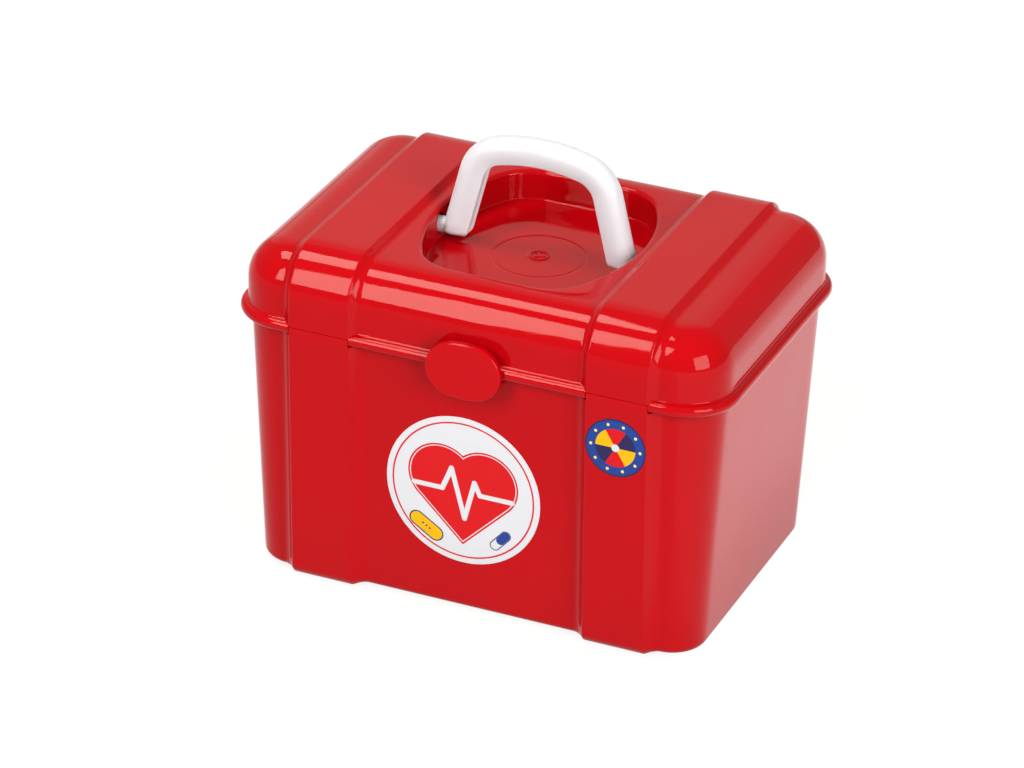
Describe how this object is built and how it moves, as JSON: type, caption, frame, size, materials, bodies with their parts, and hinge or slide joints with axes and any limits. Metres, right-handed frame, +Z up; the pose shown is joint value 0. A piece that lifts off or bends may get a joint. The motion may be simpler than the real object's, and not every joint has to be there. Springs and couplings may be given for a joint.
{
  "type": "toy doctor case",
  "caption": "Glossy plastic toy doctor's case: drafted tub, hinged lid with raised bands, carry handle that folds into the lid, flip clasp and round picture labels.",
  "frame": {"origin": "middle of the footprint, on the surface that the case stands on", "axes": "+X to the right along the case's length, -Y towards the front with the clasp and labels, +Z up"},
  "size_m": [0.26, 0.1854, 0.2232],
  "materials": {
    "red_shell": "glossy injection moulded polypropylene, red",
    "white_handle": "milky white, slightly translucent moulded plastic, satin gloss",
    "label_print": "printed vinyl sticker, satin",
    "pin_steel": "plain drawn steel wire"
  },
  "bodies": {
    "tub": {"case_tub": "red_shell", "hinge_pin_left": "pin_steel", "hinge_pin_right": "pin_steel", "main_label": "label_print", "band_label": "label_print"},
    "lid": {"case_lid": "red_shell", "clasp_pin": "pin_steel"},
    "handle": {"carry_handle": "white_handle"},
    "clasp": {"clasp": "red_shell"}
  },
  "joints": [
    {"name": "lid_hinge", "type": "hinge", "parent": "tub", "child": "lid", "pos_m": [0, 0.0895, 0.137], "axis": [-1, 0, 0], "range_deg": [0, 100]},
    {"name": "handle_swing", "type": "hinge", "parent": "lid", "child": "handle", "pos_m": [0, 0, 0.167], "axis": [1, 0, 0], "range_deg": [-90, 90]},
    {"name": "clasp_flip", "type": "hinge", "parent": "lid", "child": "clasp", "pos_m": [0, -0.0876, 0.1502], "axis": [-1, 0, 0], "range_deg": [0, 42]}
  ]
}
